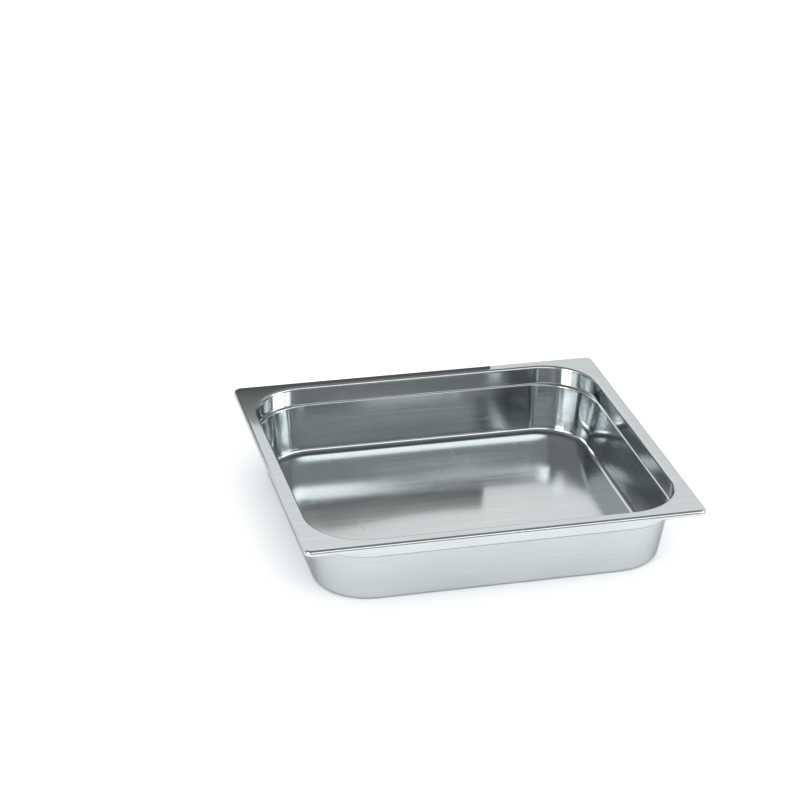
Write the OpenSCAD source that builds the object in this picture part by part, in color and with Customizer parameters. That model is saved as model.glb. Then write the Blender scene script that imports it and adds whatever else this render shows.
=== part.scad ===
// Gastronorm food pan, size 2/3, 65 mm deep, drawn from one stainless steel sheet.
// Frame: X runs along the long side, Y along the short side, Z is up. The origin is at the
// centre of the base's underside, so the rim's top face lies at z = pan_depth.
// The pressing is divided into zones where its formed regions meet. Neighbouring zones touch
// face to face: a flat base, four walls, four wall corners, four rim sides and four rim corners.

/* [Size] */
// Outside length of the rim, along X
rim_length = 354; // [265:1:650]
// Outside width of the rim, along Y
rim_width = 325; // [265:1:530]
// Height from the underside of the base to the top of the rim
pan_depth = 65; // [55:5:150]
// Thickness of the sheet
sheet = 0.8; // [0.6:0.1:1]

/* [Rim] */
// Distance from the rim's outer edge to the mouth of the well
flange_width = 12.5; // [11:0.5:16]
// Radius of the rim's outer corners, seen from above
rim_corner_r = 7; // [6:1:16]
// Outer radius of the bend where the flange turns down into the lip
lip_bend_r = 3.5; // [2:0.5:5]
// Height of the turned-down lip, from the rim's top to its lower edge
lip_drop = 5; // [5:0.5:8]
// Radius of the bend where the flange turns down into the well
shoulder_r = 3; // [1.5:0.5:4]

/* [Well] */
// Radius of the well's corners at the mouth, seen from above
mouth_corner_r = 50; // [40:1:60]
// Depth of the stacking ledge below the rim
ledge_depth = 18; // [14:1:24]
// Width of the stacking ledge along the straight walls
ledge_step = 1.2; // [0.9:0.1:2]
// How much the corner radius grows at the ledge, which widens it in the corners
ledge_corner_growth = 4; // [2:0.5:8]
// Slope of the collar above the ledge, in degrees from upright
collar_draft = 1.5; // [0:0.5:3]
// Slope of the walls below the ledge, in degrees from upright
wall_draft = 9.5; // [4:0.5:12]
// Outer radius of the bend between a wall and the base
base_bend_r = 5; // [4:0.5:12]

/* [Hidden] */
$fn = 96;
slack = 1;                                   // how far a cutting shape runs past what it cuts
ledge_z = pan_depth - ledge_depth;           // top face of the ledge
well = [rim_length / 2 - flange_width, rim_width / 2 - flange_width];   // half size of the mouth
collar_inset = ledge_depth * tan(collar_draft);                        // collar's slope, at the ledge
collar_t = sheet / cos(collar_draft);        // level thickness of the collar
wall_t = sheet / cos(wall_draft);            // level thickness of a wall
wall_r = mouth_corner_r + ledge_corner_growth;                         // corner radius under the ledge
ledge_half = [well.x - collar_inset - ledge_step, well.y - collar_inset - ledge_step];
wall_axis = [ledge_half.x - wall_r, ledge_half.y - wall_r];            // axis of a wall corner
collar_axis = [well.x - mouth_corner_r, well.y - mouth_corner_r];      // axis of a collar corner
rim_axis = [rim_length / 2 - rim_corner_r, rim_width / 2 - rim_corner_r];   // axis of a rim corner
stub = collar_axis - wall_axis;              // straight collar left inside a corner zone
bend_u = wall_r + wall_t - (ledge_z - base_bend_r) * tan(wall_draft) - base_bend_r / cos(wall_draft);

// ---- outlines and sections ----

// Rectangle of half size `half` with corners of radius r
module rounded_rect(half, r) {
    square([2 * half.x, 2 * (half.y - r)], center = true);
    square([2 * (half.x - r), 2 * half.y], center = true);
    for (sx = [-1, 1], sy = [-1, 1])
        translate([sx * (half.x - r), sy * (half.y - r)])
            circle(r);
}

// Everything inside the lower wall and base bend. r is the bend's radius and top_u the wall's
// distance from the corner axis at the ledge. The two faces of the sheet share one bend centre.
module lower_well(r, top_u) {
    translate([bend_u, base_bend_r])
        circle(r);
    polygon([
        [0, base_bend_r - r],
        [bend_u, base_bend_r - r],
        [bend_u, base_bend_r],
        [bend_u + r * cos(wall_draft), base_bend_r - r * sin(wall_draft)],
        [top_u, ledge_z],
        [0, ledge_z]
    ]);
}

// Section of the sheet from the base's edge up to the ledge, u measured from the wall axis
module lower_section() {
    intersection() {
        difference() {
            lower_well(base_bend_r, wall_r + wall_t);
            lower_well(base_bend_r - sheet, wall_r);
        }
        translate([bend_u, 0])
            square([wall_r, pan_depth]);
    }
}

// Everything outside the collar, under the shoulder. depth_in is how far into the sheet.
module outside_collar(depth_in) {
    r = shoulder_r - depth_in;
    centre = [mouth_corner_r + shoulder_r, pan_depth - shoulder_r];
    bottom_u = mouth_corner_r - (ledge_depth + sheet) * tan(collar_draft) + depth_in / cos(collar_draft);
    translate(centre)
        circle(r);
    polygon([
        [bottom_u, ledge_z - sheet],
        [centre.x - r * cos(collar_draft), centre.y - r * sin(collar_draft)],
        centre,
        [centre.x, pan_depth - depth_in],
        [centre.x + slack, pan_depth - depth_in],
        [centre.x + slack, ledge_z - sheet]
    ]);
}

// Section of the collar and its shoulder, u measured from the collar axis
module collar_section() {
    intersection() {
        difference() {
            outside_collar(0);
            outside_collar(sheet);
        }
        square([mouth_corner_r + shoulder_r, pan_depth]);
    }
}

// Section of the turned-down lip, u measured from the rim's corner axis
module lip_section() {
    centre_u = rim_corner_r - lip_bend_r;
    intersection() {
        translate([centre_u, pan_depth - lip_bend_r])
            difference() {
                circle(lip_bend_r);
                circle(lip_bend_r - sheet);
            }
        translate([centre_u, pan_depth - lip_bend_r])
            square(lip_bend_r + slack);
    }
    translate([rim_corner_r - sheet, pan_depth - lip_drop])
        square([sheet, lip_drop - lip_bend_r]);
}

// ---- building blocks, each made for the +X side or the +X +Y corner ----

// A section run along Y for a given length, centred, with its axis at x = axis
module run_along_y(axis, length) {
    translate([axis, length / 2, 0])
        rotate([90, 0, 0])
            linear_extrude(length)
                children();
}

// A section turned through a quarter about the upright line at `axis`
module turn_corner(axis) {
    translate(axis)
        rotate_extrude(angle = 90)
            children();
}

// A quarter of the plan, from the wall corner's axis outwards
module corner_quarter() {
    translate(wall_axis)
        square([rim_length, rim_width]);
}

// Straight wall at +x: half is the half distance across the pan, run the wall's length
module straight_wall(half_well, half_ledge, run) {
    run_along_y(half_ledge - wall_r, run)
        lower_section();
    run_along_y(half_well - mouth_corner_r, run)
        collar_section();
    translate([half_ledge + wall_t / 2, -run / 2, ledge_z - sheet])
        cube([ledge_step + collar_t / 2 - wall_t / 2, run, sheet]);
}

// Wall corner at +x +y: lower cone, widened ledge and collar
module corner_wall() {
    turn_corner(wall_axis)
        lower_section();
    turn_corner(collar_axis)
        collar_section();
    // straight ends of the collar
    translate([0, wall_axis.y + stub.y / 2, 0])
        run_along_y(collar_axis.x, stub.y)
            collar_section();
    mirror([1, -1, 0])
        translate([0, wall_axis.x + stub.x / 2, 0])
            run_along_y(collar_axis.y, stub.x)
                collar_section();
    // the ledge, from the middle of the wall's thickness to the middle of the collar's
    translate([0, 0, ledge_z - sheet])
        linear_extrude(sheet)
            intersection() {
                difference() {
                    rounded_rect(
                        well - [1, 1] * (collar_inset - collar_t / 2),
                        mouth_corner_r - collar_inset + collar_t / 2
                    );
                    rounded_rect(ledge_half + [1, 1] * wall_t / 2, wall_r + wall_t / 2);
                }
                corner_quarter();
            }
}

// Rim side at +x: flat flange, then the lip
module straight_rim(half_well, half_rim, run) {
    flat_from = half_well + shoulder_r;
    flat_to = half_rim - lip_bend_r;
    translate([flat_from, -run / 2, pan_depth - sheet])
        cube([flat_to - flat_from, run, sheet]);
    run_along_y(half_rim - rim_corner_r, run)
        lip_section();
}

// Rim corner at +x +y
module corner_rim() {
    lip_run = rim_axis - wall_axis;
    translate([0, 0, pan_depth - sheet])
        linear_extrude(sheet)
            intersection() {
                difference() {
                    rounded_rect(rim_axis + [1, 1] * (rim_corner_r - lip_bend_r), rim_corner_r - lip_bend_r);
                    rounded_rect(well + [1, 1] * shoulder_r, mouth_corner_r + shoulder_r);
                }
                corner_quarter();
            }
    turn_corner(rim_axis)
        lip_section();
    translate([0, wall_axis.y + lip_run.y / 2, 0])
        run_along_y(rim_axis.x, lip_run.y)
            lip_section();
    mirror([1, -1, 0])
        translate([0, wall_axis.x + lip_run.x / 2, 0])
            run_along_y(rim_axis.y, lip_run.x)
                lip_section();
}

// Puts a +X side shape on another side, or a +X +Y corner in another corner
module to_left() { mirror([1, 0, 0]) children(); }
module to_rear() { mirror([1, -1, 0]) children(); }
module to_front() { mirror([0, 1, 0]) children(); }

// ---- the zones ----

module base_panel() {
    color("silver")
        linear_extrude(sheet)
            rounded_rect(wall_axis + [1, 1] * bend_u, bend_u);
}

module long_wall() {
    color("lightgray")
        to_rear()
            straight_wall(well.y, ledge_half.y, 2 * wall_axis.x);
}

module short_wall() {
    color("lightgray")
        straight_wall(well.x, ledge_half.x, 2 * wall_axis.y);
}

module wall_corner() {
    color("darkgray")
        corner_wall();
}

module long_rim() {
    color("gainsboro")
        to_rear()
            straight_rim(well.y, rim_width / 2, 2 * wall_axis.x);
}

module short_rim() {
    color("gainsboro")
        straight_rim(well.x, rim_length / 2, 2 * wall_axis.y);
}

module rim_corner() {
    color("whitesmoke")
        corner_rim();
}

base_panel();
to_front() long_wall();  // front_wall
long_wall();  // rear_wall
to_left() short_wall();  // left_wall
short_wall();  // right_wall
to_left() to_front() wall_corner();  // front_left_wall_corner
to_front() wall_corner();  // front_right_wall_corner
to_left() wall_corner();  // rear_left_wall_corner
wall_corner();  // rear_right_wall_corner
to_front() long_rim();  // front_rim
long_rim();  // rear_rim
to_left() short_rim();  // left_rim
short_rim();  // right_rim
to_left() to_front() rim_corner();  // front_left_rim_corner
to_front() rim_corner();  // front_right_rim_corner
to_left() rim_corner();  // rear_left_rim_corner
rim_corner();  // rear_right_rim_corner
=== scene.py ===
"""Gastronorm food pan, size 2/3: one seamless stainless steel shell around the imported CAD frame.

The CAD model divides the pressing into zones. The real pan is one sheet, so a single shell stands
for all of them: the section of the sheet, swept round the plan, with both faces and rounded bends.
"""

import math

import bmesh
import bpy
from mathutils import Matrix, Vector


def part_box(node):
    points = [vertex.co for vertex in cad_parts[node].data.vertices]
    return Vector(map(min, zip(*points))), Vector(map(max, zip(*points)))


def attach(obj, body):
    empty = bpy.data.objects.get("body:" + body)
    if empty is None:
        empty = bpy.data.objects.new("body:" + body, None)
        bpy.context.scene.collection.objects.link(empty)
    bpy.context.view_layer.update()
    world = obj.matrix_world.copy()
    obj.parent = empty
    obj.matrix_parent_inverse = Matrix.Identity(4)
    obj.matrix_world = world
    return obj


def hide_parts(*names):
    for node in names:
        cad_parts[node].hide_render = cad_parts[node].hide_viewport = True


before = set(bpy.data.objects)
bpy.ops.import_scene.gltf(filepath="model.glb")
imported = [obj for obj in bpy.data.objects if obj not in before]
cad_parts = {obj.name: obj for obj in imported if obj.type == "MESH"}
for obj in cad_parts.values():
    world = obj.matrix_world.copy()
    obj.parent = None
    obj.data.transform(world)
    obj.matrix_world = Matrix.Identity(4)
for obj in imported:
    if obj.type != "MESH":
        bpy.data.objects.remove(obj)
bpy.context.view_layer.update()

# ---- sizes in metres, worked out from the frame ----
MM = 0.001
RIM_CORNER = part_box("rear_right_rim_corner")
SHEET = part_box("base_panel")[1].z                    # thickness of the sheet
TOP_Z = RIM_CORNER[1].z                              # top face of the flange
LIP_Z = RIM_CORNER[0].z                              # lower edge of the turned-down lip
RIM_HALF = Vector(RIM_CORNER[1][:2])                 # half size of the rim's outer edge
SHOULDER_R = 3 * MM                                  # bend from the collar out to the flange
LIP_BEND_R = 3.5 * MM                                # bend from the flange down to the lip
BASE_BEND_R = 5 * MM                                 # bend from the base up to the wall
LEDGE_Z = TOP_Z - 18 * MM                            # height of the stacking ledge
LEDGE_STEP = 1.2 * MM                                # its width along the straight walls
COLLAR_SLOPE = math.radians(1.5)                     # from upright, above the ledge
WALL_SLOPE = math.radians(9.5)                       # from upright, below the ledge
COLLAR_INSET = (TOP_Z - LEDGE_Z) * math.tan(COLLAR_SLOPE)
MOUTH_HALF = Vector((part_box("right_wall")[1].x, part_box("rear_wall")[1].y)) - Vector((1, 1)) * SHOULDER_R
LEDGE_HALF = MOUTH_HALF - Vector((1, 1)) * (COLLAR_INSET + LEDGE_STEP)
MOUTH_R = 50 * MM                                    # corner radii, seen from above
LEDGE_R = MOUTH_R + 4 * MM
RIM_R = 7 * MM
CONVEX_R = 1.5 * MM                                  # bends of the ledge, on the face that shows
CONCAVE_R = 0.9 * MM
EDGE_RISE = math.radians(6.0)                        # the base climbs inwards from its edge at this slope,
EDGE_WIDTH = 26 * MM                                 # easing off over this width,
TURN_UP = BASE_BEND_R * math.tan(EDGE_RISE)          # width over which the base bend turns up into the slope
BASE_CROWN = 2.7 * MM                                # and then stands a little higher in its middle

# Reference outlines as (half size, corner radius)
LEDGE_LINE, MOUTH_LINE, RIM_LINE = (LEDGE_HALF, LEDGE_R), (MOUTH_HALF, MOUTH_R), (RIM_HALF, RIM_R)

# ---- how finely the shell is divided ----
CORNER_STEPS = 24
SIDE_STEPS = 12
BEND_STEPS = (12, 7, 6, 10, 10)                      # of the section's bends, from the base out to the lip
RUN_STEPS = (8, 3, 6, 5)                             # of the straight runs between them
LIP_STEPS = 2                                        # of the lip's straight run
CUT_STEPS = 4                                        # of its rounded edge
EDGE_RINGS = 12
PANEL_RINGS = 16
GUARD = 0.02                                         # share of a straight run kept beside each bend

# ---- the steel ----
STEEL_DARK = (0.520, 0.550, 0.554)
STEEL_LIGHT = (0.634, 0.668, 0.672)
STEEL_GRAZING = (0.54, 0.55, 0.56)                   # steel dips at grazing angles
LEVEL_FROM, LEVEL_TO = 0.55, 0.85                    # size of the normal's Z where a face starts to be level
ROUGH_LOW, ROUGH_HIGH = 0.065, 0.125                 # on the walls, where the grain is smoothest and coarsest
ROUGH_LEVEL = 0.02                                   # more than that on level faces,
ROUGH_PATCH = 0.025                                  # in the soft patches
ROUGH_MARK = 0.10                                    # and where it is scuffed or rubbed
GRAIN_ALONG, GRAIN_ACROSS = 12.0, 900.0              # noise cells a metre, with the grain and across it
BROAD_ALONG, BROAD_ACROSS = 6.0, 180.0               # the same for the broader lines over it
FINE_SHARE = 0.65                                    # of the grain that is fine lines
GRAIN_STRENGTH = 0.15
GRAIN_DEPTH = 0.02 * MM
PATCH_CELLS = (14, 14, 22)                           # cells a metre along X, Y and Z
SCUFF_CELLS = (480, 14, 480)
SCUFF_FROM, SCUFF_TO = 0.71, 0.75                    # only the noise's highest crests are scuffs
RUB_CELLS = (70, 70, 70)
RUB_HEIGHT = 2 * MM                                  # of the rubbed edge that the pan stands on

# ---- the camera, angles in degrees ----
CAMERA_AT = (-0.5499, -1.8804, 1.0497)
CAMERA_TURN = 14.70                                  # clockwise from +Y, seen from above
CAMERA_DOWN = 25.64
CAMERA_ROLL = 1.24
CAMERA_LENS, CAMERA_SENSOR = 109.6, 36               # in millimetres
CAMERA_REACH = 20                                    # in metres

# ---- the studio: sizes in metres, angles in degrees, brightness as radiance ----
FLOOR_HALF = 6.0
FLOOR_COLOR = (0.85, 0.86, 0.87)
FLOOR_SUN = 2.5                                      # power of the floor's own light
FLOOR_SUN_WIDTH, FLOOR_SUN_TILT = 130, 10
SWEEP_R = 5.9                                        # radius and height of the ring of backdrop
SWEEP_STEPS = 96
SWEEP_BRIGHTNESS = 0.93
FLAG_LEFT, FLAG_RIGHT = -0.271, 0.076                # ends of the grey card, along X
FLAG_BACK = 0.164                                    # just behind the rim, which ends at RIM_HALF.y
FLAG_TOP = TOP_Z + 42 * MM
FLAG_TONES = 0.12, 0.48                              # at the height of the rim, and at its top
BACKDROP_HEADING = 12.0                              # clockwise from +Y
BACKDROP_HEIGHT = 4.0
BACKDROP_SPREAD = 58.0                               # half angle of the pale region
BACKDROP_FADE = 10.0                                 # half width of its soft edge
BACKDROP = 1.14
DARK_SIDE = 0.42                                     # away from the backdrop
DARK_ABOVE = 0.24                                    # straight overhead
CEILING_FROM, CEILING_TO = 0.65, 0.95                # sine of the heights between which it darkens
LIGHT_DISTANCE = 2.0
# name, heading clockwise from the camera's own, height above level, width and height covered, brightness
SOFT_BOXES = [
    ("right_box", 96, 26, 28, 13, 6.0),
    ("right_box_edge", 120, 25, 20, 12, 2.4),
    ("left_box", -136, 21, 20, 20, 6.5),
    ("left_box_edge", -117, 22, 18, 16, 1.8),
    ("front_strip", 157, 37.8, 64, 9.5, 2.8),
    ("front_glow", 150, 52, 60, 20, 0.15),
]
GLOSSY_BOUNCES = 8                                   # the corners mirror themselves many times


# ---- the section of the sheet ----

def bend(outline, corner, start, end, r, steps):
    """A rounded corner of the section, as (outline, distance out, z, angle of travel).

    corner is where the two straight runs would meet, as (distance out from the outline, z). start and
    end are the directions of travel before and after, in radians up from straight out.
    """
    side = 1 if end > start else -1
    run_in = r * math.tan(abs(end - start) / 2)
    first = (corner[0] - run_in * math.cos(start), corner[1] - run_in * math.sin(start))
    centre = (first[0] - side * r * math.sin(start), first[1] + side * r * math.cos(start))
    points = []
    for i in range(steps + 1):
        a = start + (end - start) * i / steps
        points.append((outline, centre[0] + side * r * math.sin(a), centre[1] - side * r * math.cos(a), a))
    return points


def ledge_rise(width):
    """Angle of the ledge above level: nought where its two bends have room, more where it is narrow."""
    def room(angle):
        used = (CONVEX_R * math.tan((math.pi / 2 - WALL_SLOPE - angle) / 2)
                + CONCAVE_R * math.tan((math.pi / 2 - COLLAR_SLOPE - angle) / 2))
        return width / math.cos(angle) - used
    low, high = 0.0, math.radians(75)
    if room(low) >= 0:
        return low
    for _ in range(30):
        middle = (low + high) / 2
        low, high = (low, middle) if room(middle) >= 0 else (middle, high)
    return high


def section_bends(width):
    """The bends from the base out to the lip, where the ledge is `width` wide."""
    level, wall, collar = 0.0, math.pi / 2 - WALL_SLOPE, math.pi / 2 - COLLAR_SLOPE
    down = -math.pi / 2
    rise = ledge_rise(width)
    half_rise = width * math.tan(rise) / 2
    foot = (-(LEDGE_Z - SHEET) * math.tan(WALL_SLOPE), SHEET)
    step_low = (-half_rise * math.tan(WALL_SLOPE), LEDGE_Z - half_rise)
    step_high = (half_rise * math.tan(COLLAR_SLOPE) - COLLAR_INSET, LEDGE_Z + half_rise)
    # the two faces share the base bend's centre, so the showing face has the smaller radius
    bends = [
        (LEDGE_LINE, foot, level, wall, BASE_BEND_R - SHEET),
        (LEDGE_LINE, step_low, wall, rise, CONVEX_R),
        (MOUTH_LINE, step_high, rise, collar, CONCAVE_R),
        (MOUTH_LINE, (0, TOP_Z), collar, level, SHOULDER_R),
        (RIM_LINE, (0, TOP_Z), level, down, LIP_BEND_R),
    ]
    return [bend(*values, steps) for values, steps in zip(bends, BEND_STEPS)]


def place(outline, centre_signs, angle, out):
    """Point of an outline's corner, `out` further out, at an angle from the corner's first side."""
    half, r = outline
    axis = Vector((centre_signs[0] * (half.x - r), centre_signs[1] * (half.y - r)))
    return axis + (r + out) * Vector((math.cos(angle), math.sin(angle)))


def run_between(a, b, steps):
    """Points between two points, with one close to each end so that the run stays flat."""
    shares = [GUARD] + [i / steps for i in range(1, steps)] + [1 - GUARD]
    return [a.lerp(b, t) for t in shares]


def station(signs, angle):
    """The whole section at one angle of one corner: points of the showing face, then of the back."""
    gap = place(MOUTH_LINE, signs, angle, 0) - place(LEDGE_LINE, signs, angle, 0)
    width = gap.dot(Vector((math.cos(angle), math.sin(angle)))) - COLLAR_INSET
    front, back = [], []
    for k, points in enumerate(section_bends(width)):
        faces = ([], [])
        for outline, out, z, travel in points:
            for face, depth in zip(faces, (0, SHEET)):
                xy = place(outline, signs, angle, out + depth * math.sin(travel))
                face.append(Vector((*xy, z - depth * math.cos(travel))))
        for line, face in zip((front, back), faces):
            if line:
                line += run_between(line[-1], face[0], RUN_STEPS[k - 1])
            line += face
    # the lip's straight run, then a rounded edge
    for line in (front, back):
        foot = Vector((line[-1].x, line[-1].y, LIP_Z + SHEET / 2))
        line += run_between(line[-1], foot, LIP_STEPS) + [foot]
    inner, outer = back[-1], front[-1]
    for i in range(1, CUT_STEPS):
        a = math.pi * i / CUT_STEPS
        at = outer.lerp(inner, (1 - math.cos(a)) / 2)
        front.append(Vector((at.x, at.y, at.z - SHEET / 2 * math.sin(a))))
    return front + back[::-1]


# ---- the shell ----

def all_round(at_corner):
    """Rows of points all the way round, anticlockwise, blended along the straight sides.

    at_corner(signs, angle) gives the row for one angle of one corner.
    """
    corners = []
    for quadrant, signs in enumerate(((1, 1), (-1, 1), (-1, -1), (1, -1))):
        first = quadrant * math.pi / 2
        corners.append([at_corner(signs, first + math.pi / 2 * i / CORNER_STEPS)
                        for i in range(CORNER_STEPS + 1)])
    rows = []
    for k, corner in enumerate(corners):
        rows += corner
        start, end = corner[-1], corners[(k + 1) % 4][0]
        for i in range(1, SIDE_STEPS):
            rows.append([a.lerp(b, i / SIDE_STEPS) for a, b in zip(start, end)])
    return rows


def base_outline(inset):
    """The base's outline, `inset` in from its lowest line."""
    lowest = section_bends(LEDGE_STEP)[0][0][1]
    rows = all_round(lambda signs, angle: [place(LEDGE_LINE, signs, angle, lowest - inset)])
    return [row[0] for row in rows]


def edge_height(inset):
    """Height of the base above its lowest line, `inset` in from that line. The slope eases off evenly."""
    s = min(max(inset - TURN_UP / 2, 0), EDGE_WIDTH)
    return math.tan(EDGE_RISE) * (s - s ** 3 / (3 * EDGE_WIDTH ** 2))


def crown(x, y, edge):
    """Extra height of the base's middle panel: nothing at its edge, most in the middle."""
    u, v = min(abs(x) / edge.x, 1), min(abs(y) / edge.y, 1)
    return BASE_CROWN * (1 - u * u) ** 2 * (1 - v * v) ** 2


def base_rings(depth_in):
    """Rings of points over the base, from its lowest line inwards, then the middle point.

    depth_in is how far into the sheet the face lies: nothing for the face that shows.
    """
    rings = []
    insets = [0, TURN_UP, 2 * TURN_UP] + [EDGE_WIDTH * k / EDGE_RINGS for k in range(1, EDGE_RINGS + 1)]
    for inset in insets:
        rings.append([Vector((*xy, SHEET - depth_in + edge_height(inset))) for xy in base_outline(inset)])
    last = rings[-1]
    edge = Vector((max(p.x for p in last), max(p.y for p in last)))
    for k in range(1, PANEL_RINGS):
        share = 1 - k / PANEL_RINGS
        rings.append([Vector((p.x * share, p.y * share, p.z + crown(p.x * share, p.y * share, edge)))
                      for p in last])
    rings.append(Vector((0, 0, last[0].z + BASE_CROWN)))
    return rings


def make_shell():
    """The whole pan as one closed mesh."""
    rows = all_round(station)
    count, depth = len(rows), len(rows[0])
    bm = bmesh.new()
    grid = [[bm.verts.new(p) for p in row] for row in rows]
    for i in range(count):
        a, b = grid[i], grid[(i + 1) % count]
        for j in range(depth - 1):
            bm.faces.new((a[j], b[j], b[j + 1], a[j + 1]))
    # each face of the base, from the section's first or last column inwards
    for column, depth_in in ((0, 0), (depth - 1, SHEET)):
        ring = [row[column] for row in grid]
        rings = base_rings(depth_in)
        for points in rings[1:-1]:
            inner = [bm.verts.new(p) for p in points]
            for i in range(count):
                n = (i + 1) % count
                bm.faces.new((ring[i], inner[i], inner[n], ring[n]))
            ring = inner
        middle = bm.verts.new(rings[-1])
        for i in range(count):
            bm.faces.new((ring[i], middle, ring[(i + 1) % count]))
    bmesh.ops.recalc_face_normals(bm, faces=bm.faces)
    mesh = bpy.data.meshes.new("pan_shell")
    bm.to_mesh(mesh)
    bm.free()
    mesh.shade_smooth()
    return add("pan_shell", mesh)


# ---- scene and node helpers ----

def add(name, data):
    """A new object, linked to the scene."""
    thing = bpy.data.objects.new(name, data)
    bpy.context.scene.collection.objects.link(thing)
    return thing


def add_stage(name, points, faces, mat, unseen_by=()):
    """A mesh that isn't part of the object, hidden from the given kinds of ray."""
    mesh = bpy.data.meshes.new(name)
    mesh.from_pydata(points, [], faces)
    mesh.materials.append(mat)
    thing = add(name, mesh)
    for ray in unseen_by:
        setattr(thing, "visible_" + ray, False)


def new_material(name):
    """A node material, with its tree and its Principled shader."""
    mat = bpy.data.materials.new(name)
    mat.use_nodes = True
    return mat, mat.node_tree, mat.node_tree.nodes["Principled BSDF"]


def feed(socket, value):
    """Sets a socket to a number, or links another node's output to it."""
    if isinstance(value, (int, float)):
        socket.default_value = value
    else:
        socket.id_data.links.new(value, socket)


def map_range(tree, value, from_low, from_high, to_low, to_high, smooth=False):
    """A value carried from one range to another and kept inside it."""
    step = tree.nodes.new("ShaderNodeMapRange")
    step.interpolation_type = "SMOOTHSTEP" if smooth else "LINEAR"
    sockets = "Value", "From Min", "From Max", "To Min", "To Max"
    for socket, number in zip(sockets, (value, from_low, from_high, to_low, to_high)):
        feed(step.inputs[socket], number)
    return step.outputs["Result"]


def split_xyz(tree, vector):
    """The three numbers of a vector, under the names X, Y and Z."""
    split = tree.nodes.new("ShaderNodeSeparateXYZ")
    feed(split.inputs["Vector"], vector)
    return split.outputs


# ---- material ----

def steel():
    """Bright stainless steel. Its grain runs along X on level faces and level on upright ones."""
    mat, tree, bsdf = new_material("stainless_steel")
    bsdf.inputs["Metallic"].default_value = 1.0
    bsdf.inputs["Specular Tint"].default_value = (*STEEL_GRAZING, 1)
    coordinates = tree.nodes.new("ShaderNodeTexCoord").outputs

    def noise(cells, detail, roughness=0.6):
        scaled = tree.nodes.new("ShaderNodeMapping")
        scaled.inputs["Scale"].default_value = cells
        feed(scaled.inputs["Vector"], coordinates["Object"])
        texture = tree.nodes.new("ShaderNodeTexNoise")
        texture.inputs["Scale"].default_value = 1.0
        texture.inputs["Detail"].default_value = detail
        texture.inputs["Roughness"].default_value = roughness
        feed(texture.inputs["Vector"], scaled.outputs["Vector"])
        return texture.outputs["Fac"]

    def spread(value, *limits, smooth=False):
        return map_range(tree, value, *limits, smooth=smooth)

    def mix(a, b, share):
        blend = tree.nodes.new("ShaderNodeMix")
        for socket, value in zip(("Factor", "A", "B"), (share, a, b)):
            feed(blend.inputs[socket], value)
        return blend.outputs["Result"]

    def combine(operation, a, b):
        step = tree.nodes.new("ShaderNodeMath")
        step.operation = operation
        for socket, value in zip(step.inputs, (a, b)):
            feed(socket, value)
        return step.outputs["Value"]

    # how level the face is
    upward = combine("ABSOLUTE", split_xyz(tree, coordinates["Normal"])["Z"], 0.0)
    level = spread(upward, LEVEL_FROM, LEVEL_TO, 0.0, 1.0, smooth=True)

    def lines(along, across, detail):
        on_walls, on_levels = noise((along, along, across), detail), noise((along, across, across), detail)
        return mix(on_walls, on_levels, level)

    fine = lines(GRAIN_ALONG, GRAIN_ACROSS, 3.0)
    broad = lines(BROAD_ALONG, BROAD_ACROSS, 2.0)
    grain = combine("ADD", combine("MULTIPLY", fine, FINE_SHARE), combine("MULTIPLY", broad, 1 - FINE_SHARE))
    patches = noise(PATCH_CELLS, 3.0, 0.55)
    # hairline scuffs, a few thin crossing lines picked out of a stretched noise
    crests = spread(noise(SCUFF_CELLS, 1.0), SCUFF_FROM, SCUFF_TO, 0.0, 1.0)
    scuffs = combine("MULTIPLY", crests, level)

    # rubbed along the lip and where the pan stands
    position = split_xyz(tree, coordinates["Object"])
    out_x, out_y = (combine("ABSOLUTE", position[axis], 0.0) for axis in "XY")
    near_end = spread(out_x, RIM_HALF.x - LIP_BEND_R, RIM_HALF.x, 0.0, 1.0)
    near_side = spread(out_y, RIM_HALF.y - LIP_BEND_R, RIM_HALF.y, 0.0, 1.0)
    under = spread(position["Z"], 0.0, RUB_HEIGHT, 1.0, 0.0)
    blotches = spread(noise(RUB_CELLS, 4.0), 0.42, 0.6, 0.1, 1.0)
    rubbed = combine("MULTIPLY", combine("MAXIMUM", combine("MAXIMUM", near_end, near_side), under), blotches)

    rough = spread(grain, 0.3, 0.7, ROUGH_LOW, ROUGH_HIGH)
    rough = combine("ADD", rough, spread(patches, 0.35, 0.7, 0.0, ROUGH_PATCH))
    rough = combine("ADD", rough, combine("MULTIPLY", level, ROUGH_LEVEL))
    marks = combine("MAXIMUM", scuffs, rubbed)
    feed(bsdf.inputs["Roughness"], combine("ADD", rough, combine("MULTIPLY", marks, ROUGH_MARK)))

    tint = tree.nodes.new("ShaderNodeMix")
    tint.data_type = "RGBA"
    share, dark, light = (tint.inputs[k] for k in (0, 6, 7))             # the node's colour sockets
    dark.default_value = (*STEEL_DARK, 1)
    light.default_value = (*STEEL_LIGHT, 1)
    tone = combine("ADD", combine("MULTIPLY", grain, 0.7), combine("MULTIPLY", patches, 0.3))
    feed(share, spread(tone, 0.3, 0.7, 0.0, 1.0))
    feed(bsdf.inputs["Base Color"], tint.outputs[2])

    bump = tree.nodes.new("ShaderNodeBump")
    bump.inputs["Strength"].default_value = GRAIN_STRENGTH
    bump.inputs["Distance"].default_value = GRAIN_DEPTH
    feed(bump.inputs["Height"], combine("SUBTRACT", grain, combine("MULTIPLY", scuffs, 0.5)))
    feed(bsdf.inputs["Normal"], bump.outputs["Normal"])
    return mat


# ---- floor, light and camera ----

def make_floor():
    """The plain pale floor."""
    mat, _, bsdf = new_material("pale_floor")
    bsdf.inputs["Base Color"].default_value = (*FLOOR_COLOR, 1)
    bsdf.inputs["Roughness"].default_value = 0.9
    s = FLOOR_HALF
    add_stage("floor", [(-s, -s, 0), (s, -s, 0), (s, s, 0), (-s, s, 0)], [(0, 1, 2, 3)], mat)


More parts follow.
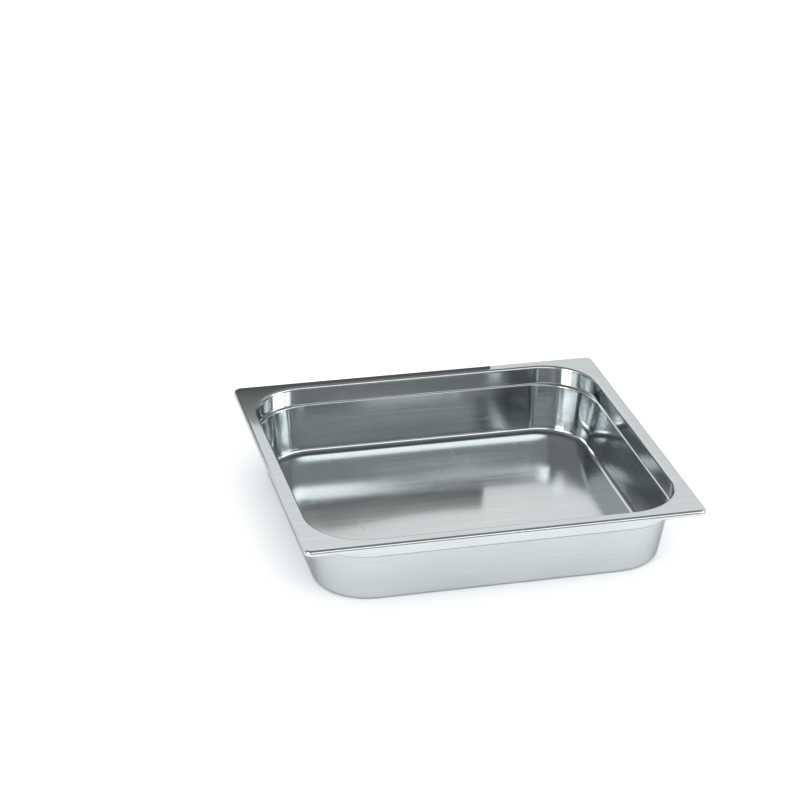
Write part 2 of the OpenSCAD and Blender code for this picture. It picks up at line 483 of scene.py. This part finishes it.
def make_sweep():
    """A pale ring of backdrop round the floor for level views, which the steel doesn't mirror."""
    mat, _, bsdf = new_material("pale_sweep")
    bsdf.inputs["Base Color"].default_value = (0, 0, 0, 1)
    bsdf.inputs["Emission Color"].default_value = (1, 1, 1, 1)
    bsdf.inputs["Emission Strength"].default_value = SWEEP_BRIGHTNESS
    n = SWEEP_STEPS
    angles = [math.tau * k / n for k in range(n)]
    points = [(SWEEP_R * math.cos(a), SWEEP_R * math.sin(a), z) for z in (0, SWEEP_R) for a in angles]
    faces = [(i, (i + 1) % n, (i + 1) % n + n, i + n) for i in range(n)]
    add_stage("sweep", points, faces, mat, unseen_by=("diffuse", "glossy", "shadow", "transmission"))


def make_flag():
    """A grey studio card behind the left of the pan's rear rim, seen only as a reflection."""
    mat, tree, bsdf = new_material("flag_grey")
    tree.nodes.remove(bsdf)
    height = split_xyz(tree, tree.nodes.new("ShaderNodeTexCoord").outputs["Object"])["Z"]
    glow = tree.nodes.new("ShaderNodeEmission")
    feed(glow.inputs["Strength"], map_range(tree, height, TOP_Z, FLAG_TOP, *FLAG_TONES))
    feed(tree.nodes["Material Output"].inputs["Surface"], glow.outputs["Emission"])
    left, right, back = FLAG_LEFT, FLAG_RIGHT, FLAG_BACK
    corners = [(left, back, TOP_Z), (right, back, TOP_Z), (right, back, FLAG_TOP), (left, back, FLAG_TOP)]
    hidden_from = ("camera", "diffuse", "shadow", "transmission")
    add_stage("flag_card", corners, [(0, 1, 2, 3)], mat, unseen_by=hidden_from)


def floor_sun():
    """A very wide, soft light for the floor alone, which the steel doesn't mirror."""
    light = bpy.data.lights.new("floor_sun", "SUN")
    light.energy = FLOOR_SUN
    light.angle = math.radians(FLOOR_SUN_WIDTH)
    lamp = add("floor_sun", light)
    lamp.rotation_euler = (math.radians(FLOOR_SUN_TILT), 0, 0)
    lamp.visible_glossy = False


def toward(heading, height):
    """Direction at a heading clockwise from +Y and a height above level, both in degrees."""
    turn, rise = math.radians(heading), math.radians(height)
    return Vector((math.sin(turn) * math.cos(rise), math.cos(turn) * math.cos(rise), math.sin(rise)))


def soft_box(name, heading, height, width, tall, brightness):
    """A soft box aimed at the pan, which stands at the origin."""
    out = toward(CAMERA_TURN + heading, height)
    light = bpy.data.lights.new(name, "AREA")
    light.shape = "RECTANGLE"
    light.size = 2 * LIGHT_DISTANCE * math.tan(math.radians(width) / 2)
    light.size_y = 2 * LIGHT_DISTANCE * math.tan(math.radians(tall) / 2)
    light.energy = brightness * math.pi * light.size * light.size_y
    lamp = add(name, light)
    lamp.location = out * LIGHT_DISTANCE
    lamp.rotation_mode = "QUATERNION"
    lamp.rotation_quaternion = (-out).to_track_quat("-Z", "Y")


def set_world():
    """The studio's surroundings: a pale backdrop behind the pan, darker at the sides and overhead."""
    world = bpy.data.worlds.new("studio")
    bpy.context.scene.world = world
    world.use_nodes = True
    tree = world.node_tree
    direction = tree.nodes.new("ShaderNodeTexCoord").outputs["Generated"]
    aim = tree.nodes.new("ShaderNodeVectorMath")
    aim.operation = "DOT_PRODUCT"
    aim.inputs[1].default_value = toward(BACKDROP_HEADING, BACKDROP_HEIGHT)
    feed(aim.inputs[0], direction)
    # away from the backdrop it darkens towards the ceiling
    upward = split_xyz(tree, direction)["Z"]
    around = map_range(tree, upward, CEILING_FROM, CEILING_TO, DARK_SIDE, DARK_ABOVE)
    faded = math.cos(math.radians(BACKDROP_SPREAD + BACKDROP_FADE))
    full = math.cos(math.radians(BACKDROP_SPREAD - BACKDROP_FADE))
    strength = map_range(tree, aim.outputs["Value"], faded, full, around, BACKDROP, smooth=True)
    background = tree.nodes["Background"]
    background.inputs["Color"].default_value = (1, 1, 1, 1)
    feed(background.inputs["Strength"], strength)


def make_camera():
    """The camera, at the photograph's viewing angle."""
    data = bpy.data.cameras.new("camera")
    data.sensor_width = CAMERA_SENSOR
    data.lens = CAMERA_LENS
    data.clip_end = CAMERA_REACH
    camera = add("camera", data)
    turn, down, roll = math.radians(CAMERA_TURN), math.radians(CAMERA_DOWN), math.radians(CAMERA_ROLL)
    camera.matrix_world = (
        Matrix.Translation(CAMERA_AT)
        @ Matrix.Rotation(-turn, 4, "Z")
        @ Matrix.Rotation(math.pi / 2 - down, 4, "X")
        @ Matrix.Rotation(roll, 4, "Z")
    )
    bpy.context.scene.camera = camera


shell = make_shell()
shell.data.materials.append(steel())
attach(shell, "root")
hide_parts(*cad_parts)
make_floor()
set_world()
for box in SOFT_BOXES:
    soft_box(*box)
floor_sun()
make_sweep()
make_flag()
make_camera()
bpy.context.scene.view_settings.view_transform = "Standard"
bpy.context.scene.cycles.glossy_bounces = GLOSSY_BOUNCES
